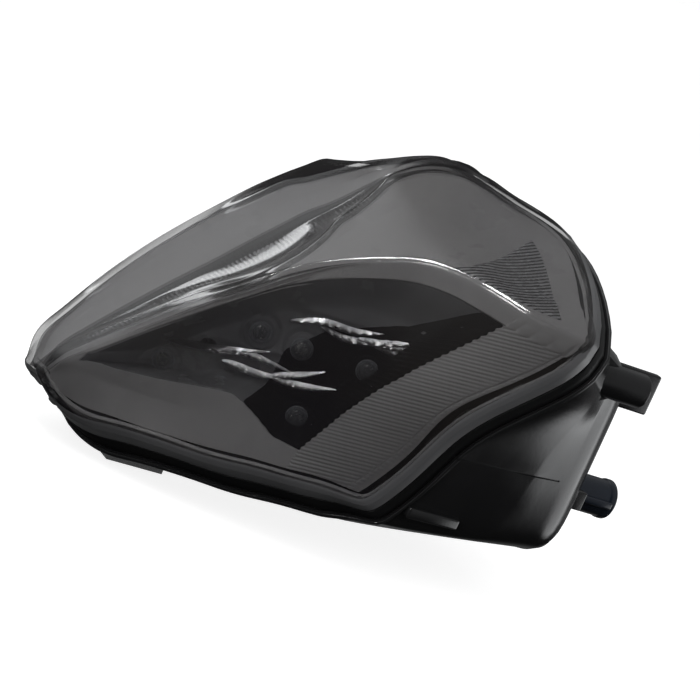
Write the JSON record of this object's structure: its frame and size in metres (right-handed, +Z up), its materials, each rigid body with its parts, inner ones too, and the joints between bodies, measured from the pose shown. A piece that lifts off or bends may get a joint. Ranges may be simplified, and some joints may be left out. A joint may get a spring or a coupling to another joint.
{
  "type": "motorcycle tail light",
  "caption": "Twin-lobe smoked motorcycle tail light with LED boards, a black housing with fixing bosses, a plate light and bulb holders that twist to unlock.",
  "frame": {"origin": "centre of the flat seat on the housing's front wall, the face towards the motorcycle", "axes": "+Y forwards into the motorcycle, out of the front wall; +Z up; +X to the right-hand side of the motorcycle"},
  "size_m": [0.2134, 0.2055, 0.136],
  "materials": {
    "smoked_lens": "gloss dark smoke, clear coat",
    "seal_rubber": "matte black",
    "housing_plastic": "satin black, moulded",
    "bezel_plastic": "gloss black, fluted",
    "circuit_board": "dark solder mask",
    "led_epoxy": "clear epoxy",
    "steel_screw": "zinc plated",
    "brass_insert": "turned",
    "bulb_mirror": "vacuum metallised",
    "holder_plastic": "satin dark grey",
    "bulb_glass": "clear glass",
    "plate_window": "clear, slightly smoked"
  },
  "bodies": {
    "lamp": {"lens": "smoked_lens", "perimeter_gasket": "seal_rubber", "housing": "housing_plastic", "centre_rib_strip": "bezel_plastic", "right_bezel": "bezel_plastic", "right_led_board": "circuit_board", "right_led_1": "led_epoxy", "right_led_2": "led_epoxy", "right_led_3": "led_epoxy", "right_led_4": "led_epoxy", "right_led_5": "led_epoxy", "right_led_6": "led_epoxy", "right_board_screw_1": "steel_screw", "right_board_screw_2": "steel_screw", "right_boss_insert": "brass_insert", "right_bulb_reflector": "bulb_mirror", "left_bezel": "bezel_plastic", "left_led_board": "circuit_board", "left_led_1": "led_epoxy", "left_led_2": "led_epoxy", "left_led_3": "led_epoxy", "left_led_4": "led_epoxy", "left_led_5": "led_epoxy", "left_led_6": "led_epoxy", "left_board_screw_1": "steel_screw", "left_board_screw_2": "steel_screw", "left_boss_insert": "brass_insert", "left_bulb_reflector": "bulb_mirror", "wire_gland": "seal_rubber", "vent_cap": "seal_rubber", "plate_light_window": "plate_window", "plate_light_board": "circuit_board", "plate_light_led": "led_epoxy"},
    "right_bulb_holder": {"right_bulb_holder": "holder_plastic", "right_bulb_seal": "seal_rubber", "right_bulb": "bulb_glass"},
    "left_bulb_holder": {"left_bulb_holder": "holder_plastic", "left_bulb_seal": "seal_rubber", "left_bulb": "bulb_glass"}
  },
  "joints": [
    {"name": "right_bulb_holder_turn", "type": "hinge", "parent": "lamp", "child": "right_bulb_holder", "pos_m": [0.053, 0, -0.01], "axis": [0, 1, 0], "range_deg": [0, 45]},
    {"name": "left_bulb_holder_turn", "type": "hinge", "parent": "lamp", "child": "left_bulb_holder", "pos_m": [-0.053, 0, -0.01], "axis": [0, 1, 0], "range_deg": [0, 45]}
  ]
}
